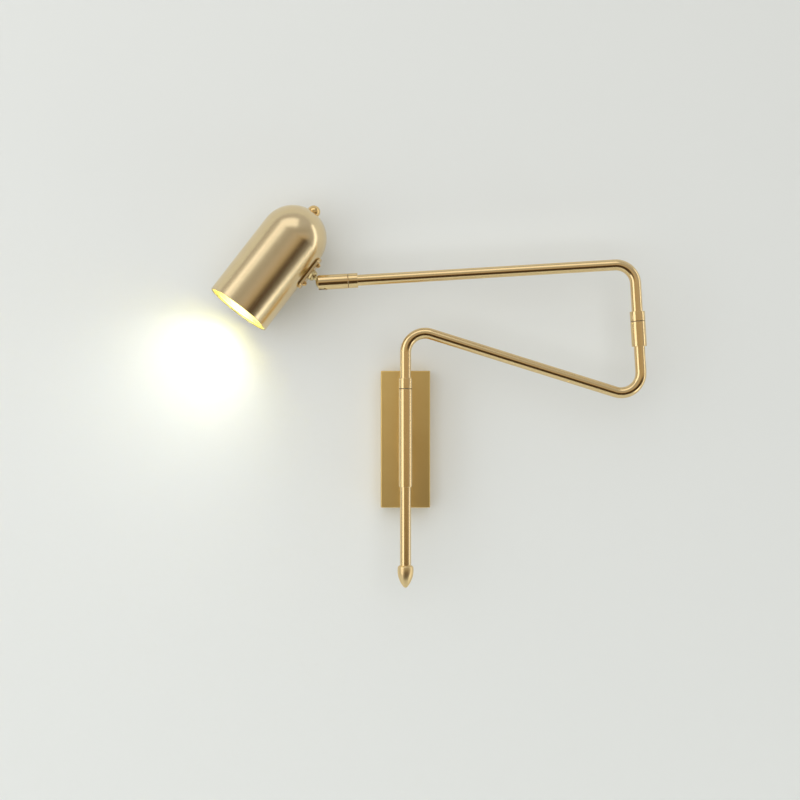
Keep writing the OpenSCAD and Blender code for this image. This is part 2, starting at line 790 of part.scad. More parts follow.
module cup_plug() {
    color(brass) behind_ball(cup_seam) pipe(cup_bore_r - seat_gap, spindle_r + run_gap, plug_l);
}

// Point of a spring's wire: turned by the angle, raised by the height, and round the wire by the phase
function wire_point(angle, height, phase, coil_r, wire_r) =
    [(coil_r + wire_r * cos(phase)) * cos(angle), (coil_r + wire_r * cos(phase)) * sin(angle),
    height + wire_r * sin(phase)];

module coil_spring(coil_r, wire_r, length, turns) {
    sides = spring_sides;
    steps = spring_steps * turns;
    rise = length - 2 * wire_r;
    points = [for (i = [0 : steps], k = [0 : sides - 1])
        wire_point(360 * turns * i / steps, wire_r + rise * i / steps, 360 * k / sides, coil_r, wire_r)];
    walls = [for (i = [0 : steps - 1], k = [0 : sides - 1])
        let (a = i * sides + k, b = i * sides + (k + 1) % sides)
            each [[a, b, b + sides], [a, b + sides, a + sides]]];
    ends = [for (k = [1 : sides - 2]) each [[0, k + 1, k],
        [steps * sides, steps * sides + k, steps * sides + k + 1]]];
    polyhedron(points, concat(walls, ends));
}

module seat_spring() {
    color(steel) behind_ball(plug_face - run_gap)
        coil_spring(cup_bore_r - free_gap / 2 - spring_wire / 2, spring_wire / 2,
            plug_face - seat_back - 2 * run_gap, spring_turns);
}

module ball_seat() {
    color(nylon) difference() {
        behind_ball(seat_back) pipe(cup_bore_r - seat_gap, cable_r + free_gap, seat_l);
        behind_ball(0) sphere(ball_d / 2 + run_gap);
    }
}

module ball_neck() {
    color(brass) on_neck(0) rotate_extrude() difference() {
        union() {
            intersection() {
                circle(d = ball_d);
                translate([0, -ball_d]) square([ball_d, 2 * ball_d]);
            }
            square([neck_d / 2, flare_start]);
            polygon([[0, flare_start], [neck_d / 2, flare_start],
                [neck_foot_d / 2, flare_start + neck_shoulder], [neck_end_d / 2, collar_face],
                [0, collar_face]]);
            translate([0, collar_face]) square([collar_d / 2, collar_h]);
            translate([0, collar_face]) square([neck_thread_d / 2, neck_end - collar_face]);
        }
        translate([0, -ball_d]) square([neck_bore_d / 2, ball_d + neck_end + over]);
        // The bore flares at the back of the ball, so that the leads bend as it tilts
        polygon([[0, -ball_d / 2 - over], [ball_d / 3 + over, -ball_d / 2 - over],
            [neck_bore_d / 2, -neck_bore_d / 2], [0, -neck_bore_d / 2]]);
    }
}

module neck_nut() {
    color(steel) on_neck(saddle_face + run_gap)
        hex_nut(neck_nut_d, inner_nut_h, neck_thread_d / 2 + seat_gap);
}

module neck_leads() {
    color(nylon) on_neck(-neck_bore_d / 2) cylinder(d = lead_d, h = neck_bore_d / 2 + neck_end);
}

module bracket_2d() {
    for (side = [-1, 1]) translate([side * (bracket_l - bracket_w) / 2, 0]) circle(d = bracket_w);
    square([bracket_l - bracket_w, bracket_w], center = true);
}

module bracket_plate() {
    color(brass) on_neck(bracket_face) linear_extrude(bracket_t) difference() {
        bracket_2d();
        circle(neck_thread_d / 2 + run_gap);
        for (side = [-1, 1]) translate([side * screw_pitch / 2, 0]) circle(screw_d / 2 + seat_gap);
    }
}

module bracket_screws() {
    shank = bracket_nut_face + inner_nut_h + free_gap - bracket_face;
    color(brass) on_neck(bracket_face) for (side = [-1, 1])
        translate([side * screw_pitch / 2, 0, -run_gap]) rotate([180, 0, 0])
            slotted_screw(screw_head_d, screw_head_h, screw_d, shank);
}

module bracket_nuts() {
    color(steel) on_neck(bracket_nut_face) for (side = [-1, 1])
        translate([side * screw_pitch / 2, 0, 0]) hex_nut(2 * screw_d, inner_nut_h, screw_d / 2 + seat_gap);
}

// Flat towards the neck's nut and curved to the inside of the shade
module saddle_washer() {
    color(brass) intersection() {
        on_neck(ball_gap) pipe(neck_nut_d / 2, neck_thread_d / 2 + run_gap, saddle_face - ball_gap);
        on_shade(bracket_z - neck_nut_d) cylinder(r = inner_r - seat_gap, h = 2 * neck_nut_d);
    }
}

module bullet_2d(r) {
    square([r, dome_z]);
    intersection() {
        translate([0, dome_z]) circle(r);
        translate([0, dome_z]) square(r + over);
    }
}

module shade() {
    color(brass) on_shade(0) difference() {
        rotate_extrude() {
            difference() {
                bullet_2d(shade_r);
                bullet_2d(inner_r);
            }
            translate([inner_r - hem_t, 0]) square([hem_t + shade_t / 2, hem_h]);
        }
        translate([0, 0, dome_z]) cylinder(d = nipple_d + 2 * seat_gap, h = shade_r + over);
        translate([0, 0, bracket_z]) rotate([0, 90, 0])
            cylinder(d = neck_thread_d + 2 * free_gap, h = shade_r + over);
        for (side = [-1, 1]) translate([0, 0, bracket_z + side * screw_pitch / 2]) rotate([0, 90, 0])
            cylinder(d = screw_d + 2 * seat_gap, h = shade_r + over);
    }
}

module cap_nut() {
    cap_r = cap_nut_d / 2;
    color(brass) on_shade(shade_l) rotate_extrude() difference() {
        union() {
            translate([0, -sagitta(shade_r, cap_r)]) square([cap_r, sagitta(shade_r, cap_r) + cap_rim_h]);
            intersection() {
                translate([0, cap_rim_h]) circle(cap_r);
                translate([0, cap_rim_h]) square(cap_nut_d);
            }
        }
        translate([0, -shade_r]) circle(shade_r + seat_gap);
        translate([0, -over]) square([nipple_d / 2 + seat_gap, over + nipple_in_cap + seat_gap]);
    }
}

module nipple() {
    color(steel) on_shade(chamber_top)
        pipe(nipple_d / 2, nipple_bore_d / 2, shade_l + nipple_in_cap - chamber_top);
}

module lock_nut() {
    color(steel) on_shade(holder_top) hex_nut(lock_nut_d, lock_nut_h, nipple_d / 2 + seat_gap);
}

module lampholder() {
    body_r = holder_d / 2;
    neck_r = holder_neck_d / 2;
    shoulder_z = holder_top - holder_neck_l;
    color(porcelain) on_shade(0) difference() {
        rotate_extrude() difference() {
            polygon([[0, holder_mouth], [body_r, holder_mouth],
                [body_r, shoulder_z + neck_r - body_r], [neck_r, shoulder_z],
                [neck_r, holder_top], [0, holder_top]]);
            translate([0, holder_mouth - over])
                square([shell_d / 2 + seat_gap, chamber_top - holder_mouth + over]);
            square([nipple_d / 2 + seat_gap, shade_l]);
        }
        translate([0, 0, lead_entry_z]) rotate([0, 90, 0])
            cylinder(d = lead_d + 2 * free_gap, h = body_r + over);
    }
}

module screw_shell() {
    color(brass) on_shade(bulb_top + free_gap)
        pipe(shell_d / 2, bulb_cap_d / 2 + free_gap, bulb_cap_l);
}

// Tongue on a post under the lampholder's floor
module centre_contact() {
    color(brass) on_shade(0) {
        translate([0, 0, bulb_cap_top + bulb_tip_h + run_gap]) cylinder(r = contact_r, h = contact_t);
        translate([0, 0, bulb_cap_top + bulb_tip_h + run_gap])
            cylinder(r = contact_t, h = chamber_top - bulb_cap_top - bulb_tip_h - run_gap);
        translate([0, 0, chamber_top - contact_t])
            cylinder(r = nipple_d / 2 + contact_t, h = contact_t - seat_gap);
    }
}

// From the neck's end, up inside the dome, and into the side of the lampholder
module holder_leads() {
    start = neck_end + free_gap;
    rise = lead_entry_z - bracket_z - 2 * lead_bend;
    reach = ball_gap + shade_r - shell_d / 2 - start - lead_in - 2 * lead_bend;
    color(nylon) on_neck(start)
        run([[lead_in, -90], [rise, 90], [reach + lead_d, 0]], lead_bend) circle(d = lead_d);
}

module bulb_cap() {
    color(steel) on_shade(bulb_top) rotate_extrude() polygon([[0, 0], [bulb_cap_d / 2, 0],
        [bulb_cap_d / 2, bulb_cap_l - bulb_tip_h], [contact_r, bulb_cap_l],
        [contact_r, bulb_cap_l + bulb_tip_h], [0, bulb_cap_l + bulb_tip_h]]);
}

// Round glass with straight sides drawn tangent from it up to the neck
module glass_2d(r, neck_r, neck_z) {
    reach = sqrt(pow(neck_r, 2) + pow(neck_z, 2));
    touch = atan2(neck_z, neck_r) - acos(r / reach);
    circle(r);
    polygon([[0, 0], [r * cos(touch), r * sin(touch)], [neck_r, neck_z], [0, neck_z]]);
}

module bulb_globe() {
    middle = holder_mouth - bulb_l + bulb_d / 2;
    neck_z = bulb_top - seat_gap - middle;
    color(opal) on_shade(middle) rotate_extrude() intersection() {
        difference() {
            glass_2d(bulb_d / 2, bulb_cap_d / 2, neck_z);
            glass_2d(bulb_d / 2 - glass_t, bulb_cap_d / 2 - glass_t, neck_z);
        }
        translate([0, -bulb_d]) square([bulb_d, 2 * bulb_d]);
    }
}

canopy();
mounting_strap();
canopy_screws();
earth_screw();
terminal_block();
base_cable();
post_stem();
stem_washer();
stem_nut();
post_sleeve();
stop_screw();
post_washer();
lower_arm_tube();
post_ring();
ring_screw();
finial();
elbow_sleeve();
elbow_bush();
elbow_washer();
lower_cable();
upper_arm_tube();
elbow_ring();
elbow_spindle();
spindle_nut();
cup_ring();
cup_spindle();
cup_circlip();
upper_cable();
ball_cup();
cup_washer();
cup_plug();
seat_spring();
ball_seat();
ball_neck();
neck_nut();
neck_leads();
bracket_plate();
bracket_screws();
bracket_nuts();
saddle_washer();
shade();
cap_nut();
nipple();
lock_nut();
lampholder();
screw_shell();
centre_contact();
holder_leads();
bulb_cap();
bulb_globe();
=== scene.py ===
import math

import bmesh
import bpy
from mathutils import Matrix, Vector


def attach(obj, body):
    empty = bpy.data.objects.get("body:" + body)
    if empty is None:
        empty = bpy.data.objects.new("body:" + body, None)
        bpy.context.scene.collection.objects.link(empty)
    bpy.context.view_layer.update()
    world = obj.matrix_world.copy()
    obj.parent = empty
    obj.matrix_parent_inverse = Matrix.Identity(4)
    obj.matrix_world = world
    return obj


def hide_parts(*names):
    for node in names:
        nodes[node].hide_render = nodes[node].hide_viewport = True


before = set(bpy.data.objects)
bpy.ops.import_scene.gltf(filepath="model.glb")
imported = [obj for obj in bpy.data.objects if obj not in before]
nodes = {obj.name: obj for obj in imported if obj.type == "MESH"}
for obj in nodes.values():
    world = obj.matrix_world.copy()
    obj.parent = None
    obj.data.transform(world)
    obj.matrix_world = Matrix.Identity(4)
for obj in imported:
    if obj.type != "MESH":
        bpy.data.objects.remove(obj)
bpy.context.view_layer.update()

scene = bpy.context.scene
print("frame loaded:", len(nodes), "nodes")


# Camera: level and square to the wall

cameraRig = {"lens": 85.0, "sensor": 36.0, "spot": (-0.00495, -1.7439, 0.0358), "clipEnd": 50.0}

cameraData = bpy.data.cameras.new("camera")
cameraData.lens = cameraRig["lens"]
cameraData.sensor_width = cameraRig["sensor"]
cameraData.clip_end = cameraRig["clipEnd"]
camera = bpy.data.objects.new("camera", cameraData)
camera.location = cameraRig["spot"]
camera.rotation_euler = (math.radians(90), 0, 0)
scene.collection.objects.link(camera)
scene.camera = camera
print("camera placed")


# Where the axes run, as in the frame: lengths in millimetres, angles in degrees

axes = {
    "postY": -42.2,  # the plane of the post and both arms
    "tail": 113.2,  # from the canopy's middle down to the finial
    "postRise": 102.4,  # and up to the first corner
    "lowerArm": 223.8,  # from the first corner to the low one
    "fall": 17.4083,
    "elbow": 123.3,  # from the low corner to the high one
    "lean": 3.4218,
    "upperArm": 281.8,  # from the high corner to the ball
    "headTurn": 10.0,
    "headTilt": 40.0,
    "ballGap": 15.2,  # from the ball's middle to the shade's wall
    "shadeRadius": 30.5,
    "bracketHeight": 64.8,  # above the shade's mouth
}


def shift(x, y, z):
    return Matrix.Translation((x, y, z))


def turn(degrees, axis):
    return Matrix.Rotation(math.radians(degrees), 4, axis)


fallAngle = math.radians(axes["fall"])
cornerLow = Vector((
    axes["lowerArm"] * math.cos(fallAngle),
    axes["postY"],
    axes["postRise"] - axes["lowerArm"] * math.sin(fallAngle),
))
elbowBase = Matrix.Translation(cornerLow) @ turn(-axes["lean"], "Y")
cornerHigh = elbowBase @ Vector((0, 0, axes["elbow"]))


# Places on the axes, each with its +Z along the axis

def onPost(station):
    # Up from the canopy's middle
    return shift(0, axes["postY"], station)


def onElbow(station):
    # Up from the low corner
    return elbowBase @ shift(0, 0, station)


def behindBall(station):
    # Back along the upper arm, facing the ball
    along = turn(-90 - axes["lean"], "Y") @ shift(0, 0, axes["upperArm"] - station)
    return Matrix.Translation(cornerHigh) @ along @ turn(axes["headTurn"], "Z")


def onNeck(station):
    # From the ball towards the shade
    return behindBall(0) @ turn(axes["headTilt"], "Y") @ shift(0, 0, station)


def onShade(station):
    # Up from the shade's mouth
    middle = onNeck(axes["ballGap"] + axes["shadeRadius"]) @ turn(90, "Y")
    return middle @ shift(0, 0, station - axes["bracketHeight"])


toMetres = Matrix.Scale(0.001, 4)


# Shader maths: a socket that takes part in expressions

class Wire:
    def __init__(self, tree, socket):
        self.tree = tree
        self.socket = socket

    def maths(self, operation, left, right):
        values = {0: left, 1: right}
        return addNode(self.tree, "ShaderNodeMath", {"operation": operation}, values).out(0)

    def __add__(self, other):
        return self.maths("ADD", self, other)

    def __radd__(self, other):
        return self.maths("ADD", other, self)

    def __sub__(self, other):
        return self.maths("SUBTRACT", self, other)

    def __rsub__(self, other):
        return self.maths("SUBTRACT", other, self)

    def __mul__(self, other):
        return self.maths("MULTIPLY", self, other)

    def __rmul__(self, other):
        return self.maths("MULTIPLY", other, self)


class Made:
    def __init__(self, tree, node):
        self.tree = tree
        self.node = node

    def out(self, key):
        return Wire(self.tree, self.node.outputs[key])


def addNode(tree, kind, settings=None, values=None):
    node = tree.nodes.new(kind)
    for key, value in (settings or {}).items():
        if key == "stops":
            ramp = node.color_ramp
            while len(ramp.elements) > 1:
                ramp.elements.remove(ramp.elements[-1])
            for index, (spot, colour) in enumerate(value):
                stop = ramp.elements[0] if index == 0 else ramp.elements.new(spot)
                stop.position = spot
                stop.color = (*colour, 1.0)
        else:
            setattr(node, key, value)
    for key, value in (values or {}).items():
        if isinstance(value, Wire):
            tree.links.new(value.socket, node.inputs[key])
        else:
            node.inputs[key].default_value = value
    return Made(tree, node)


def newMaterial(name):
    material = bpy.data.materials.new(name)
    material.use_nodes = True
    tree = material.node_tree
    tree.nodes.clear()
    return material, tree


def toSurface(tree, shader):
    addNode(tree, "ShaderNodeOutputMaterial", None, {"Surface": shader})


def principled(tree, values):
    toSurface(tree, addNode(tree, "ShaderNodeBsdfPrincipled", None, values).out(0))


def mixColours(tree, factor, first, second):
    first, second = (c if isinstance(c, Wire) else (*c, 1) for c in (first, second))
    settings = {"data_type": "RGBA", "blend_type": "MIX"}
    return addNode(tree, "ShaderNodeMix", settings, {0: factor, 6: first, 7: second}).out(2)


def objectPoint(tree, place=Matrix.Identity(4), stretch=(1, 1, 1)):
    # A point of the piece in the axes of its place, in millimetres, times the stretch
    spot, spin, size = (toMetres @ place).inverted().decompose()
    coords = addNode(tree, "ShaderNodeTexCoord").out("Object")
    local = addNode(tree, "ShaderNodeMapping", {"vector_type": "POINT"}, {
        "Vector": coords, "Location": spot, "Rotation": spin.to_euler(), "Scale": size}).out(0)
    return addNode(tree, "ShaderNodeVectorMath", {"operation": "MULTIPLY"}, {
        0: local, 1: stretch}).out(0)


def noise(tree, point, scale, detail=2.0, rough=0.5):
    return addNode(tree, "ShaderNodeTexNoise", None, {
        "Vector": point, "Scale": scale, "Detail": detail, "Roughness": rough}).out("Fac")


def bumpFrom(tree, height, strength, depth):
    return addNode(tree, "ShaderNodeBump", None, {
        "Strength": strength, "Distance": depth, "Height": height}).out(0)


# Metal finishes. light and deep are the two ends of the aged tone, grain is how far the
# roughness swings, and scratch is the scale of the fine lines

finishes = {
    "canopySatin": {
        "light": (0.89, 0.66, 0.27), "deep": (0.81, 0.57, 0.21),
        "rough": 0.46, "grain": 0.08, "bump": 0.10, "scratch": 1.6},
    "tubeGloss": {
        "light": (0.83, 0.63, 0.34), "deep": (0.76, 0.56, 0.28),
        "rough": 0.16, "grain": 0.04, "bump": 0.02, "scratch": 1.6},
    "shadeBrushed": {
        "light": (0.81, 0.66, 0.41), "deep": (0.75, 0.59, 0.34),
        "rough": 0.22, "grain": 0.06, "bump": 0.08, "scratch": 1.2,
        "insideTone": (0.52, 0.46, 0.20), "insideRough": 0.38},
    "finialGloss": {
        "light": (0.84, 0.64, 0.34), "deep": (0.77, 0.57, 0.28),
        "rough": 0.34, "grain": 0.04, "bump": 0.02, "scratch": 1.6},
    "knobGloss": {
        "light": (0.84, 0.61, 0.29), "deep": (0.75, 0.50, 0.20),
        "rough": 0.15, "grain": 0.04, "bump": 0.02, "scratch": 1.6},
    "neckGloss": {
        "light": (0.67, 0.55, 0.29), "deep": (0.57, 0.45, 0.22),
        "rough": 0.22, "grain": 0.04, "bump": 0.02, "scratch": 1.6},
    "bracketGloss": {
        "light": (0.80, 0.61, 0.33), "deep": (0.68, 0.49, 0.24),
        "rough": 0.24, "grain": 0.05, "bump": 0.05, "scratch": 1.6},
    "contactBrass": {
        "light": (0.80, 0.62, 0.32), "deep": (0.68, 0.50, 0.22),
        "rough": 0.35, "grain": 0.06, "bump": 0.05, "scratch": 1.6},
    "zincSteel": {
        "light": (0.66, 0.66, 0.64), "deep": (0.54, 0.54, 0.53),
        "rough": 0.38, "grain": 0.08, "bump": 0.06, "scratch": 1.6},
    "bulbMetal": {
        "light": (0.72, 0.72, 0.73), "deep": (0.62, 0.62, 0.63),
        "rough": 0.30, "grain": 0.05, "bump": 0.05, "scratch": 1.6},
}

# What all the metals share. A noise is its scale in 1/mm, its detail and its roughness
metalGrain = {
    "cloud": (0.045, 3.0, 0.6),
    "speck": (1.1, 4.0, 0.7),
    "lines": (3.0, 0.65),  # without the scale, which is the finish's scratch
    "cloudShare": 0.7,  # of the tone; the lines have the rest
    "bumpDepth": 0.00002,
}

# The middle of the shade's sheet: its radius, and the height where the dome starts
shadeWall = {"middle": 30.0, "domeFoot": 81.5}


def insideShade(tree):
    # 1 on the inner wall of the shade, 0 on its outside
    point = objectPoint(tree, onShade(0))
    parts = addNode(tree, "ShaderNodeSeparateXYZ", None, {0: point})
    x, y = parts.out(0), parts.out(1)
    height = parts.out(2) - shadeWall["domeFoot"]
    rise = height.maths("MAXIMUM", height, 0.0)
    spread = x * x + y * y + rise * rise
    return spread.maths("LESS_THAN", spread, shadeWall["middle"] ** 2)


def metal(name, finish, place=Matrix.Identity(4), stretch=(1, 1, 1)):
    material, tree = newMaterial(name)
    point = objectPoint(tree, place)
    cloud = noise(tree, point, *metalGrain["cloud"])
    speck = noise(tree, point, *metalGrain["speck"])
    lines = noise(
        tree, objectPoint(tree, place, stretch), finish["scratch"], *metalGrain["lines"])
    share = metalGrain["cloudShare"]
    tone = mixColours(tree, cloud * share + lines * (1 - share), finish["deep"], finish["light"])
    rough = (lines + speck - 1) * finish["grain"] + finish["rough"]
    if "insideTone" in finish:
        inside = insideShade(tree)
        tone = mixColours(tree, inside, tone, finish["insideTone"])
        rough = rough + inside * (finish["insideRough"] - finish["rough"])
    principled(tree, {
        "Base Color": tone, "Metallic": 1.0, "Roughness": rough,
        "Normal": bumpFrom(tree, lines, finish["bump"], metalGrain["bumpDepth"])})
    return material


# Nylon, cable and porcelain

plastics = {
    "darkNylon": {"colour": (0.035, 0.028, 0.022), "rough": 0.5, "coat": 0.0, "mottle": 0.12},
    "cableSheath": {"colour": (0.03, 0.03, 0.03), "rough": 0.55, "coat": 0.0, "mottle": 0.12},
    "porcelain": {"colour": (0.80, 0.78, 0.72), "rough": 0.25, "coat": 0.5, "mottle": 0.04},
}

plasticGrain = {
    "cloud": (0.3, 3.0), "fine": (3.0, 3.0), "roughSwing": 0.1, "bump": 0.15, "bumpDepth": 0.00003}


def plastic(name):
    form = plastics[name]
    material, tree = newMaterial(name)
    point = objectPoint(tree)
    cloud = noise(tree, point, *plasticGrain["cloud"])
    fine = noise(tree, point, *plasticGrain["fine"])
    dark = [c * (1 - form["mottle"]) for c in form["colour"]]
    principled(tree, {
        "Base Color": mixColours(tree, cloud, dark, form["colour"]),
        "Roughness": (fine - 0.5) * plasticGrain["roughSwing"] + form["rough"],
        "Coat Weight": form["coat"],
        "Normal": bumpFrom(tree, fine, plasticGrain["bump"], plasticGrain["bumpDepth"])})
    return material


# The bulb's opal glass, which is the lit lamp. A pair is the two ends of a soft cloud

opalForm = {
    "tone": ((0.95, 0.90, 0.80), (1.0, 0.96, 0.88)), "toneScale": 0.12,
    "glow": ((0.93, 0.975, 1.0), (0.95, 0.985, 1.0)), "glowScale": 0.06,
    "strength": 45.0, "rough": 0.3,
}


def opal(name):
    material, tree = newMaterial(name)
    point = objectPoint(tree, onShade(0))
    principled(tree, {
        "Base Color": mixColours(
            tree, noise(tree, point, opalForm["toneScale"]), *opalForm["tone"]),
        "Emission Color": mixColours(
            tree, noise(tree, point, opalForm["glowScale"]), *opalForm["glow"]),
        "Emission Strength": opalForm["strength"], "Roughness": opalForm["rough"]})
    return material


# How the lines of a finish run. A small number draws the pattern out along that axis
upright = (6, 6, 0.12)
crosswise = (0.4, 0.4, 8)
downPlate = (5, 5, 0.15)
alongBracket = (0.3, 5, 5)
even = (2, 2, 2)

canopyBrass = metal("canopySatin", finishes["canopySatin"], stretch=downPlate)
postBrass = metal("postGloss", finishes["tubeGloss"], onPost(0), upright)
elbowBrass = metal("elbowGloss", finishes["tubeGloss"], onElbow(0), upright)
armBrass = metal("armGloss", finishes["tubeGloss"], behindBall(0), upright)
shadeBrass = metal("shadeBrushed", finishes["shadeBrushed"], onShade(0), upright)
knobBrass = metal("knobGloss", finishes["knobGloss"], onShade(0), crosswise)
neckBrass = metal("neckGloss", finishes["neckGloss"], onNeck(0), crosswise)
screwBrass = metal("screwGloss", finishes["knobGloss"], onNeck(0), crosswise)
finialBrass = metal("finialGloss", finishes["finialGloss"], onPost(0), crosswise)
bracketBrass = metal("bracketGloss", finishes["bracketGloss"], onNeck(0), alongBracket)
contactBrass = metal("contactBrass", finishes["contactBrass"], onShade(0), crosswise)
steel = metal("zincSteel", finishes["zincSteel"], stretch=even)
bulbMetal = metal("bulbMetal", finishes["bulbMetal"], onShade(0), crosswise)
nylon = plastic("darkNylon")
sheath = plastic("cableSheath")
porcelain = plastic("porcelain")
opalGlass = opal("opalGlass")
print("materials made")


# Modelling helpers. Shapes are drawn in millimetres, about their own +Z

weld = {"outline": 1e-5, "solid": 1e-4}  # points nearer than this are merged


def vertsOf(geom):
    return [item for item in geom if isinstance(item, bmesh.types.BMVert)]


def edgesOf(geom):
    return [item for item in geom if isinstance(item, bmesh.types.BMEdge)]


class Pen:
    # Draws a half outline in the plane y = 0, one stroke after another

    def __init__(self, bm, r, z):
        self.bm = bm
        self.first = self.vert = bm.verts.new((r, 0, z))

    def line(self, r, z):
        self.vert = bmesh.ops.extrude_vert_indiv(self.bm, verts=[self.vert])["verts"][0]
        self.vert.co = (r, 0, z)
        return self

    def arc(self, r, z, degrees, steps):
        # Turns about the point r, z; above 0 it runs from +X towards +Z
        made = bmesh.ops.spin(
            self.bm, geom=[self.vert], cent=(r, 0, z), axis=(0, -1, 0),
            angle=math.radians(degrees), steps=steps)
        self.vert = vertsOf(made["geom_last"])[0]
        return self

    def ontoAxis(self):
        self.vert.co.x = 0

    def close(self):
        self.bm.edges.new((self.vert, self.first))


def spinRound(bm, sides=96):
    bmesh.ops.remove_doubles(bm, verts=bm.verts, dist=weld["outline"])
    bmesh.ops.spin(
        bm, geom=bm.verts[:] + bm.edges[:], cent=(0, 0, 0), axis=(0, 0, 1),
        angle=math.tau, steps=sides, use_merge=True)
    bmesh.ops.remove_doubles(bm, verts=bm.verts, dist=weld["solid"])
    bmesh.ops.recalc_face_normals(bm, faces=bm.faces)


def raiseFace(bm, height):
    # Fills the outline in bm, and draws the face up to a plate
    outline = bmesh.ops.contextual_create(bm, geom=bm.edges[:])["faces"]
    made = bmesh.ops.extrude_face_region(bm, geom=outline)["geom"]
    bmesh.ops.translate(bm, vec=(0, 0, height), verts=vertsOf(made))
    bmesh.ops.recalc_face_normals(bm, faces=bm.faces)


def sharpEdges(bm, degrees):
    limit = math.radians(degrees)
    return [e for e in bm.edges if len(e.link_faces) == 2 and e.calc_face_angle(0) > limit]


def soften(bm, width, segments=3, degrees=30):
    bmesh.ops.bevel(
        bm, geom=sharpEdges(bm, degrees), offset=width, segments=segments, profile=0.5,
        affect="EDGES", material=-1, clamp_overlap=True)


def makeObject(name, bm):
    mesh = bpy.data.meshes.new(name)
    bm.to_mesh(mesh)
    bm.free()
    item = bpy.data.objects.new(name, mesh)
    scene.collection.objects.link(item)
    return item


def addPiece(name, bm, place, body, material, replaced, smoothBelow=30,
             crowned=False):
    bmesh.ops.transform(bm, matrix=toMetres @ place, verts=bm.verts)
    for face in bm.faces:
        face.smooth = True
    for edge in sharpEdges(bm, smoothBelow):
        edge.smooth = False
    piece = makeObject(name, bm)
    piece.data.materials.append(material)
    if not crowned:  # a long face keeps its own normals beside a rounded rim
        piece.modifiers.new("weightedNormals", "WEIGHTED_NORMAL").keep_sharp = True
    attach(piece, body)
    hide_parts(*replaced)


def spunPiece(name, points, place, body, material, replaced, edge, segments=3):
    bm = bmesh.new()
    pen = Pen(bm, *points[0])
    for r, z in points[1:]:
        pen.line(r, z)
    pen.close()
    spinRound(bm)
    soften(bm, edge, segments)
    addPiece(name, bm, place, body, material, replaced)


# Canopy: a folded box with softly rounded edges, open towards the wall

canopyBox = {"width": 45.0, "depth": 20.0, "height": 125.0, "sheet": 1.2, "corner": 0.9,
             "cornerSteps": 5}


def canopyPiece():
    form = canopyBox
    bm = bmesh.new()
    bmesh.ops.create_cube(bm, size=1.0)
    bmesh.ops.scale(bm, vec=(form["width"], form["depth"], form["height"]), verts=bm.verts)
    bmesh.ops.translate(bm, vec=(0, -form["depth"] / 2, 0), verts=bm.verts)
    wallSide = [f for f in bm.faces if f.normal.y > 0.5]
    bmesh.ops.delete(bm, geom=wallSide, context="FACES")
    soften(bm, form["corner"], form["cornerSteps"])
    bmesh.ops.solidify(bm, geom=bm.faces[:], thickness=form["sheet"])
    bmesh.ops.recalc_face_normals(bm, faces=bm.faces)
    addPiece("canopyShell", bm, Matrix.Identity(4), "wall_base", canopyBrass, ["canopy"],
             crowned=True)


canopyPiece()
print("canopy made")


# Tubes: two rings of edges, drawn out along the straights and spun round the bends

tubeForm = {"outer": 5.0, "inner": 4.0, "bend": 17.7, "sides": 64, "bendSteps": 28}


def sweepTube(name, legs, place, body, material, replaced):
    # A leg is a straight's length and the bend that follows it
    bm = bmesh.new()
    for radius in (tubeForm["outer"], tubeForm["inner"]):
        bmesh.ops.create_circle(bm, cap_ends=False, radius=radius, segments=tubeForm["sides"])
    start = rims = bm.edges[:]
    here = Matrix.Identity(4)
    for length, bend in legs:
        made = bmesh.ops.extrude_edge_only(bm, edges=rims)["geom"]
        corners = vertsOf(made)
        rims = [e for e in edgesOf(made) if all(v in corners for v in e.verts)]
        reach = here.to_3x3() @ Vector((0, 0, length))
        bmesh.ops.translate(bm, vec=reach, verts=corners)
        here = here @ shift(0, 0, length)
        if bend:
            side = math.copysign(tubeForm["bend"], -bend)
            made = bmesh.ops.spin(
                bm, geom=rims + corners, cent=here @ Vector((side, 0, 0)), axis=(0, -1, 0),
                angle=math.radians(bend), steps=tubeForm["bendSteps"])
            rims = edgesOf(made["geom_last"])
            here = here @ shift(side, 0, 0) @ turn(-bend, "Y") @ shift(-side, 0, 0)
    bmesh.ops.bridge_loops(bm, edges=start)
    bmesh.ops.bridge_loops(bm, edges=rims)
    bmesh.ops.remove_doubles(bm, verts=bm.verts, dist=weld["solid"])
    bmesh.ops.recalc_face_normals(bm, faces=bm.faces)
    addPiece(name, bm, place, body, material, replaced, smoothBelow=40)


def tangent(bend):
    # How much of each straight a bend takes, from the corner
    return tubeForm["bend"] * math.tan(math.radians(abs(bend)) / 2)


stations = {
    "sleeveUp": 45.7, "sleeveDown": 42.6,  # from the canopy's middle
    "sleeveRadius": 6.2, "sleeveBore": 5.06,
    "ringLength": 9.5, "ringBore": 5.03,
    "washer": 0.4,  # the gap of every seam
    "elbowSeam": 71.2,  # from the low corner
    "elbowSleeve": 22.5, "elbowRing": 8.6, "elbowRadius": 6.8,
    "socket": 12.0,  # how deep the lower tube sits in the elbow's sleeve
    "web": 2.0, "webBore": 4.0,  # the floor of a ring, on which a tube's end stands
    "cupSeam": 23.4, "cupLip": 3.6,  # behind the ball and before it
    "cupRing": 8.4, "cupRadius": 6.7,
}

bendPost = -90 - axes["fall"]
bendLow = 90 + axes["fall"] + axes["lean"]
bendHigh = 90
lowerTubeEnd = stations["elbowSeam"] - stations["elbowSleeve"] + stations["socket"]
upperTubeStart = stations["elbowSeam"] + stations["washer"] + stations["web"]
upperTubeEnd = stations["cupSeam"] + stations["washer"] + stations["web"]

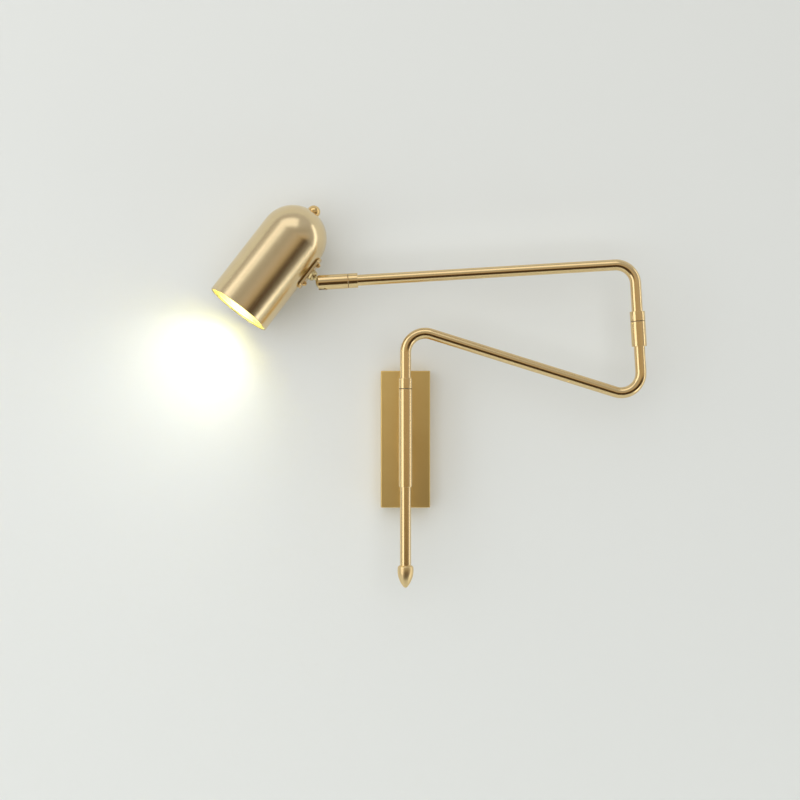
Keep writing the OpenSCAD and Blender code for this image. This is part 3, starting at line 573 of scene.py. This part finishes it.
sweepTube("lowerArmTube", [
    (axes["tail"] + axes["postRise"] - tangent(bendPost), bendPost),
    (axes["lowerArm"] - tangent(bendPost) - tangent(bendLow), bendLow),
    (lowerTubeEnd - tangent(bendLow), 0),
], onPost(-axes["tail"]), "lower_arm", postBrass, ["lower_arm_tube"])
sweepTube("upperArmTube", [
    (axes["elbow"] - upperTubeStart - tangent(bendHigh), bendHigh),
    (axes["upperArm"] - upperTubeEnd - tangent(bendHigh), 0),
], onElbow(upperTubeStart), "upper_arm", armBrass, ["upper_arm_tube"])
print("tubes made")


# Sleeves and rings, with a small rounding on every rim

roundings = {"sleeve": 0.3, "postRing": 0.5, "webbedRing": 0.25, "steps": 4}


def sleevePiece(name, bore, outer, length, place, body, material, replaced, edge):
    points = [(bore, 0), (outer, 0), (outer, length), (bore, length)]
    spunPiece(name, points, place, body, material, replaced, edge, roundings["steps"])


def webbedRing(name, outer, length, place, body, material, replaced):
    bore, webBore, web = stations["ringBore"], stations["webBore"], stations["web"]
    points = [
        (webBore, 0), (outer, 0), (outer, length), (bore, length), (bore, web), (webBore, web)]
    spunPiece(name, points, place, body, material, replaced, roundings["webbedRing"])


sleevePiece("postSleeve", stations["sleeveBore"], stations["sleeveRadius"],
            stations["sleeveUp"] + stations["sleeveDown"], onPost(-stations["sleeveDown"]),
            "wall_base", postBrass, ["post_sleeve"], roundings["sleeve"])
sleevePiece("postRing", stations["ringBore"], stations["sleeveRadius"],
            stations["ringLength"], onPost(stations["sleeveUp"] + stations["washer"]),
            "lower_arm", postBrass, ["post_ring"], roundings["postRing"])
sleevePiece("elbowSleeve", stations["ringBore"], stations["elbowRadius"],
            stations["elbowSleeve"], onElbow(stations["elbowSeam"] - stations["elbowSleeve"]),
            "lower_arm", elbowBrass, ["elbow_sleeve"], roundings["sleeve"])
webbedRing("elbowRing", stations["elbowRadius"], stations["elbowRing"],
           onElbow(stations["elbowSeam"] + stations["washer"]),
           "upper_arm", elbowBrass, ["elbow_ring"])
webbedRing("cupRing", stations["cupRadius"], stations["cupRing"],
           behindBall(stations["cupSeam"] + stations["washer"]) @ turn(180, "Y"),
           "upper_arm", armBrass, ["cup_ring"])
print("sleeves made")


# Stem between the canopy and the post sleeve, measured from the post's axis to the wall

stemForm = {"radius": 5.0, "bore": 2.7, "thread": 4.0, "start": 6.0, "shoulder": 22.2,
            "end": 28.3, "edge": 0.2}

spunPiece("postStem", [
    (stemForm["bore"], stemForm["start"]), (stemForm["radius"], stemForm["start"]),
    (stemForm["radius"], stemForm["shoulder"]), (stemForm["thread"], stemForm["shoulder"]),
    (stemForm["thread"], stemForm["end"]), (stemForm["bore"], stemForm["end"]),
], onPost(0) @ turn(-90, "X"), "wall_base", postBrass, ["post_stem"], stemForm["edge"])


# Finial: an acorn turned from one piece. side, tip and edge are the radii of its three arcs

finialForm = {"radius": 7.2, "shoulder": 4.5, "side": 23.0, "sideSteps": 26, "tip": 2.5,
              "tipSteps": 8, "edge": 2.0, "edgeSteps": 6, "spigot": 8.0, "spigotRadius": 3.97}


def finialPiece():
    form = finialForm
    sideR, tipR, edgeR = form["side"], form["tip"], form["edge"]
    sideX = form["radius"] - sideR
    sideZ = -form["shoulder"]
    tipZ = sideZ - math.sqrt((sideR - tipR) ** 2 - sideX ** 2)
    edgeX = sideX + math.sqrt((sideR - edgeR) ** 2 - (sideZ + edgeR) ** 2)
    upAngle = math.degrees(math.atan2(-edgeR - sideZ, edgeX - sideX))
    downAngle = math.degrees(math.atan2(tipZ - sideZ, -sideX))
    bm = bmesh.new()
    pen = Pen(bm, 0, form["spigot"])
    pen.line(form["spigotRadius"], form["spigot"]).line(form["spigotRadius"], 0).line(edgeX, 0)
    pen.arc(edgeX, -edgeR, -(90 - upAngle), form["edgeSteps"])
    pen.arc(sideX, sideZ, downAngle - upAngle, form["sideSteps"])
    pen.arc(0, tipZ, -(90 + downAngle), form["tipSteps"]).ontoAxis()
    spinRound(bm)
    addPiece("finialTip", bm, onPost(-axes["tail"]), "lower_arm", finialBrass, ["finial"],
             smoothBelow=50)


finialPiece()
print("finial made")


# Cup: a barrel with a closed-in mouth and a slot along one side

cupForm = {
    "bore": 5.99, "mouth": 5.45, "mouthSteps": 8, "rim": 6.3, "lipRound": 0.35, "lipSteps": 5,
    "crown": 0.3, "sides": 128,
    "slot": 6.0, "slotSides": 48,
    "slotBack": 4.2,  # where the slot ends, behind the ball's middle
    "spare": 3.0,  # how far the cutter stands out of the cup
}


def cupBarrel():
    bore, crown, lipRound = cupForm["bore"], cupForm["crown"], cupForm["lipRound"]
    outer, lip, seam = stations["cupRadius"], stations["cupLip"], stations["cupSeam"]
    mouthZ = math.sqrt(bore ** 2 - cupForm["mouth"] ** 2)
    closing = math.degrees(math.asin(mouthZ / bore))
    bm = bmesh.new()
    pen = Pen(bm, bore, -seam)
    pen.line(bore, 0).arc(0, 0, closing, cupForm["mouthSteps"])
    pen.line(cupForm["rim"], lip).line(outer - lipRound, lip)
    pen.arc(outer - lipRound, lip - lipRound, -90, cupForm["lipSteps"])
    pen.line(outer, crown - seam).line(outer - crown, -seam).close()
    spinRound(bm, cupForm["sides"])
    return bm


def slotCutter():
    # A slab with a round end, from before the mouth to behind the ball
    half = cupForm["slot"] / 2
    back = half - cupForm["slotBack"]
    bm = bmesh.new()
    bmesh.ops.create_circle(bm, cap_ends=False, radius=half, segments=cupForm["slotSides"])
    bmesh.ops.translate(bm, vec=(back, 0, 0), verts=bm.verts)
    for vert in bm.verts:
        if vert.co.x > back + weld["solid"]:
            vert.co.x = stations["cupLip"] + cupForm["spare"]
            vert.co.y = half if vert.co.y > 0 else -half
    bmesh.ops.remove_doubles(bm, verts=bm.verts, dist=weld["solid"])
    raiseFace(bm, stations["cupRadius"] + cupForm["spare"])
    bmesh.ops.transform(bm, matrix=turn(-90, "Y"), verts=bm.verts)
    return bm


def cupPiece():
    blank = makeObject("cupBlank", cupBarrel())
    knife = makeObject("slotSlab", slotCutter())
    cut = blank.modifiers.new("slot", "BOOLEAN")
    cut.operation = "DIFFERENCE"
    cut.solver = "EXACT"
    cut.object = knife
    bpy.context.view_layer.update()
    evaluated = blank.evaluated_get(bpy.context.evaluated_depsgraph_get())
    bm = bmesh.new()
    bm.from_mesh(evaluated.to_mesh())
    bpy.data.objects.remove(blank)
    bpy.data.objects.remove(knife)
    addPiece("ballCup", bm, behindBall(0), "cup", armBrass, ["ball_cup"])


cupPiece()


# Ball and neck, turned in one piece with a hexagonal collar, and measured from the ball's middle

neckForm = {
    "ball": 5.9, "ballSteps": 40, "neck": 2.2, "bore": 1.3,
    "funnel": 3.5, "funnelFace": -4.75, "funnelFoot": -1.3,  # where the leads enter the ball
    "flareStart": 7.67, "foot": 4.0, "footRise": 0.42, "footRound": 0.4, "footSteps": 5,
    "flare": 4.7, "flareTop": 1.2, "flareRim": 1.0, "flareEdge": 0.3,
    "collarFace": 10.41, "collar": 5.4, "collarHeight": 2.2, "collarEdge": 0.3,
    "thread": 3.0, "end": 20.07,
}


def neckPiece():
    form = neckForm
    meet = math.degrees(math.asin(form["neck"] / form["ball"]))
    leave = math.degrees(math.atan2(form["funnel"], -form["funnelFace"]))
    footR = form["foot"] - form["footRound"]
    footZ = form["flareStart"] + form["footRise"]
    flareR = form["flare"] - form["flareEdge"]
    face = form["collarFace"]
    bm = bmesh.new()
    pen = Pen(bm, form["bore"], form["funnelFoot"])
    pen.line(form["funnel"], form["funnelFace"])
    pen.arc(0, 0, 180 - leave - meet, form["ballSteps"])
    pen.line(form["neck"], form["flareStart"]).line(footR, footZ)
    pen.arc(footR, footZ + form["footRound"], 90, form["footSteps"])
    pen.line(flareR, face - form["flareTop"]).line(form["flare"], face - form["flareRim"])
    pen.line(form["flare"], face - form["flareEdge"]).line(flareR, face)
    pen.line(form["thread"], face).line(form["thread"], form["end"])
    pen.line(form["bore"], form["end"]).close()
    spinRound(bm)
    addPiece("ballNeck", bm, onNeck(0), "ball", neckBrass, ["ball_neck"])


def collarPiece():
    form = neckForm
    bm = bmesh.new()
    bmesh.ops.create_cone(
        bm, cap_ends=True, segments=6, radius1=form["collar"], radius2=form["collar"],
        depth=form["collarHeight"])
    middle = form["collarFace"] + form["collarHeight"] / 2
    bmesh.ops.translate(bm, vec=(0, 0, middle), verts=bm.verts)
    soften(bm, form["collarEdge"])
    addPiece("neckCollar", bm, onNeck(0), "ball", neckBrass, [])


neckPiece()
collarPiece()
print("ball joint made")


# Bracket plate with rounded ends, and its two screws

bracketForm = {"length": 33.0, "width": 10.0, "thick": 2.5, "face": 12.67, "edge": 0.4,
               "edgeSteps": 4, "sides": 64}
screwForm = {"pitch": 20.5, "head": 2.1, "headHeight": 2.4, "crown": 1.2, "crownFoot": 1.08,
             "seat": 0.06, "shank": 1.25, "end": 18.6, "edge": 0.25, "edgeAbove": 20,
             "sides": 48}


def bracketPiece():
    form = bracketForm
    reach = (form["length"] - form["width"]) / 2
    bm = bmesh.new()
    bmesh.ops.create_circle(
        bm, cap_ends=False, radius=form["width"] / 2, segments=form["sides"])
    for vert in bm.verts:
        vert.co.x += reach if vert.co.x > 0 else -reach
    raiseFace(bm, form["thick"])
    soften(bm, form["edge"], form["edgeSteps"])
    addPiece("bracketPlate", bm, onNeck(form["face"]), "head", bracketBrass, ["bracket_plate"])


def screwsPiece():
    form = screwForm
    end = form["end"] - bracketForm["face"]
    bm = bmesh.new()
    pen = Pen(bm, 0, -form["headHeight"])
    pen.line(form["crown"], -form["headHeight"]).line(form["head"], -form["crownFoot"])
    pen.line(form["head"], -form["seat"]).line(form["shank"], -form["seat"])
    pen.line(form["shank"], end).line(0, end)
    spinRound(bm, form["sides"])
    soften(bm, form["edge"], degrees=form["edgeAbove"])
    bmesh.ops.translate(bm, vec=(-form["pitch"] / 2, 0, 0), verts=bm.verts)
    second = bmesh.ops.duplicate(bm, geom=bm.verts[:] + bm.edges[:] + bm.faces[:])["geom"]
    bmesh.ops.translate(bm, vec=(form["pitch"], 0, 0), verts=vertsOf(second))
    addPiece("bracketScrews", bm, onNeck(bracketForm["face"]), "head", screwBrass,
             ["bracket_screws"])


bracketPiece()
screwsPiece()
print("bracket made")


# Shade: a spun bullet with a turned-in hem

shadeForm = {"inner": 29.5, "top": 112.0, "hole": 4.93, "belt": 20.0, "domeSteps": 40,
             "sides": 160, "hem": 28.7, "hemHeight": 2.0, "hemSlope": 0.4, "hemEdge": 0.35,
             "hemLip": 0.25}


def shadePiece():
    form = shadeForm
    outer, inner, hole = axes["shadeRadius"], form["inner"], form["hole"]
    hem, hemEdge = form["hem"], form["hemEdge"]
    dome = form["top"] - outer
    outside, inside = (math.degrees(math.acos(hole / radius)) for radius in (outer, inner))
    bm = bmesh.new()
    pen = Pen(bm, hem, hemEdge)
    pen.line(hem + form["hemLip"], 0).line(outer - hemEdge, 0).line(outer, hemEdge)
    pen.line(outer, form["belt"]).line(outer, dome).arc(0, dome, outside, form["domeSteps"])
    pen.line(hole, dome + inner * math.sin(math.radians(inside)))
    pen.arc(0, dome, -inside, form["domeSteps"])
    pen.line(inner, form["hemHeight"] + form["hemSlope"]).line(hem, form["hemHeight"]).close()
    spinRound(bm, form["sides"])
    addPiece("shadeShell", bm, onShade(0), "head", shadeBrass, ["shade"],
             smoothBelow=40)


shadePiece()


# Knob on the shade's top. rim, boreFoot and boreTop are heights over that top

knobForm = {"radius": 5.9, "base": 111.42, "baseEdge": 0.25, "lip": 0.03, "rim": 0.7,
            "domeSteps": 20, "bore": 4.93, "boreFoot": -0.3, "boreTop": 2.03, "sides": 64}


def knobPiece():
    form = knobForm
    radius, base, top = form["radius"], form["base"], shadeForm["top"]
    bm = bmesh.new()
    pen = Pen(bm, 0, top + form["boreTop"])
    pen.line(form["bore"], top + form["boreTop"]).line(form["bore"], top + form["boreFoot"])
    pen.line(radius - form["baseEdge"], base - form["lip"]).line(radius, base + form["baseEdge"])
    pen.line(radius, top + form["rim"])
    pen.arc(0, top + form["rim"], 90, form["domeSteps"]).ontoAxis()
    spinRound(bm, form["sides"])
    addPiece("shadeKnob", bm, onShade(0), "head", knobBrass, ["cap_nut"])


knobPiece()
print("shade made")


# Bulb globe, measured from the shade's mouth

globeForm = {"radius": 22.5, "middle": 43.63, "neck": 6.9, "neckLength": 1.5, "top": 72.8,
             "steps": 36}


def globePiece():
    form = globeForm
    rise = form["top"] - form["middle"]
    reach = math.hypot(form["neck"], rise)
    touch = math.degrees(math.atan2(rise, form["neck"]) - math.acos(form["radius"] / reach))
    bm = bmesh.new()
    pen = Pen(bm, 0, form["middle"] - form["radius"])
    pen.arc(0, form["middle"], 90 + touch, form["steps"])
    pen.line(form["neck"], form["top"] - form["neckLength"]).line(form["neck"], form["top"])
    pen.line(0, form["top"])
    spinRound(bm)
    addPiece("bulbGlobe", bm, onShade(0), "head", opalGlass, ["bulb_globe"],
             smoothBelow=50)


globePiece()
print("bulb made")


# Finishes for the pieces that keep their own shape

keptFinishes = [
    (steel, "mounting_strap stem_washer stop_screw ring_screw elbow_spindle spindle_nut"
            " cup_spindle cup_circlip seat_spring neck_nut bracket_nuts nipple lock_nut"),
    (canopyBrass, "canopy_screws earth_screw"),
    (knobBrass, "stem_nut saddle_washer cup_plug"),
    (contactBrass, "screw_shell centre_contact"),
    (nylon, "post_washer elbow_bush elbow_washer cup_washer ball_seat"),
    (sheath, "base_cable lower_cable upper_cable neck_leads holder_leads"),
    (porcelain, "terminal_block lampholder"),
    (bulbMetal, "bulb_cap"),
]
for material, names in keptFinishes:
    for name in names.split():
        nodes[name].data.materials.clear()
        nodes[name].data.materials.append(material)
print("finishes given")


# Wall and floor. The wall is open where the canopy covers it, so that a view from behind shows
# what is in the canopy

room = {"paint": (0.80, 0.832, 0.825), "wallWidth": 6.0, "wallGap": 0.0004,
        "opening": (0.038, 0.118), "floorDrop": -1.1, "floorDepth": 1.05}


def stageMaterial(name, colour):
    # Matt paint, and clear from behind
    material, tree = newMaterial(name)
    diffuse = addNode(tree, "ShaderNodeBsdfDiffuse", None, {"Color": (*colour, 1)}).out(0)
    clear = addNode(tree, "ShaderNodeBsdfTransparent").out(0)
    back = addNode(tree, "ShaderNodeNewGeometry").out("Backfacing")
    painted = addNode(tree, "ShaderNodeMixShader", None, {0: back, 1: diffuse, 2: clear})
    toSurface(tree, painted.out(0))
    return material


def stagePlane(name, width, depth, place, material, opening=None):
    bm = bmesh.new()
    bmesh.ops.create_grid(bm, x_segments=1, y_segments=1, size=0.5)
    bmesh.ops.scale(bm, vec=(width, depth, 1), verts=bm.verts)
    if opening:
        made = bmesh.ops.create_grid(bm, x_segments=1, y_segments=1, size=0.5)
        bmesh.ops.scale(bm, vec=(*opening, 1), verts=made["verts"])
        bmesh.ops.delete(bm, geom=bm.faces[:], context="FACES_ONLY")
        bmesh.ops.bridge_loops(bm, edges=bm.edges[:])
        bm.normal_update()
        bmesh.ops.reverse_faces(bm, faces=[f for f in bm.faces if f.normal.z < 0])
    bmesh.ops.transform(bm, matrix=place, verts=bm.verts)
    plane = makeObject(name, bm)
    plane.data.materials.append(material)


wallPaint = stageMaterial("wallPaint", room["paint"])
stagePlane("wall", room["wallWidth"], room["wallWidth"],
           shift(0, room["wallGap"], 0) @ turn(90, "X"), wallPaint, room["opening"])
stagePlane("floor", room["wallWidth"], room["floorDepth"],
           shift(0, -room["floorDepth"] / 2, room["floorDrop"]), wallPaint)
print("wall and floor made")


# The room behind the camera: dim low down, warm at eye level, brighter above and to the sides.
# A stop is a place from one side (0) to the other (1), or from below (0) to above (1)

roomGlow = {
    "side": (0.46, 0.45, 0.43),
    "sideways": [(0.10, (1, 1, 1)), (0.30, (0, 0, 0)), (0.86, (0, 0, 0)), (0.97, (1, 1, 1))],
    "upward": [
        (0.12, (0.16, 0.13, 0.09)), (0.20, (0.06, 0.038, 0.02)),
        (0.44, (0.07, 0.044, 0.024)), (0.478, (0.52, 0.41, 0.25)),
        (0.53, (0.56, 0.48, 0.36)), (0.60, (0.54, 0.50, 0.45)),
        (0.68, (0.42, 0.40, 0.36)), (0.85, (0.55, 0.55, 0.55))],
}


def bands(tree, direction, stops):
    place = {0: direction * 0.5 + 0.5}
    return addNode(tree, "ShaderNodeValToRGB", {"stops": stops}, place).out(0)


def roomWorld():
    world = bpy.data.worlds.new("room")
    scene.world = world
    world.use_nodes = True
    tree = world.node_tree
    tree.nodes.clear()
    heading = addNode(tree, "ShaderNodeTexCoord").out("Generated")
    split = addNode(tree, "ShaderNodeSeparateXYZ", None, {0: heading})
    sideways = bands(tree, split.out(0), roomGlow["sideways"])
    upward = bands(tree, split.out(2), roomGlow["upward"])
    glow = mixColours(tree, sideways, upward, roomGlow["side"])
    background = addNode(tree, "ShaderNodeBackground", None, {"Color": glow}).out(0)
    addNode(tree, "ShaderNodeOutputWorld", None, {"Surface": background})


roomWorld()


# Soft boxes: bright is what a mirror would show of them, against 1 for white

softboxes = [
    {"name": "leftBox", "spot": (-1.71, -1.19, 0.45), "aim": (0, 0, 0.45), "roll": 18,
     "size": (1.35, 3.0), "bright": 1.15},
    {"name": "rightBox", "spot": (2.05, -0.18, 0.40), "aim": (0, 0, 0.40), "roll": 0,
     "size": (0.32, 2.6), "bright": 1.8},
    {"name": "lowBox", "spot": (1.24, -0.45, -0.83), "aim": (-0.12, -0.04, 0.15), "roll": 0,
     "size": (0.4, 0.5), "bright": 1.5},
    {"name": "topBox", "spot": (-0.5, -1.35, 1.95), "aim": (-0.5, 0, 0.1), "roll": 0,
     "size": (2.2, 1.3), "bright": 0.68},
    {"name": "wallFill", "spot": (0.0, -2.9, 0.30), "aim": (0, 0, 0.30), "roll": 0,
     "size": (4.0, 4.0), "bright": 0.80},
]
for box in softboxes:
    light = bpy.data.lights.new(box["name"], "AREA")
    light.shape = "RECTANGLE"
    light.size, light.size_y = box["size"]
    light.energy = box["bright"] * math.pi * box["size"][0] * box["size"][1]
    lamp = bpy.data.objects.new(box["name"], light)
    lamp.location = box["spot"]
    facing = (Vector(box["aim"]) - Vector(box["spot"])).to_track_quat("-Z", "Y")
    lamp.rotation_euler = (facing.to_matrix().to_4x4() @ turn(box["roll"], "Z")).to_euler()
    lamp.visible_glossy = box["name"] != "wallFill"  # the fill is for matt surfaces alone
    scene.collection.objects.link(lamp)
scene.view_settings.view_transform = "Standard"
print("light set")
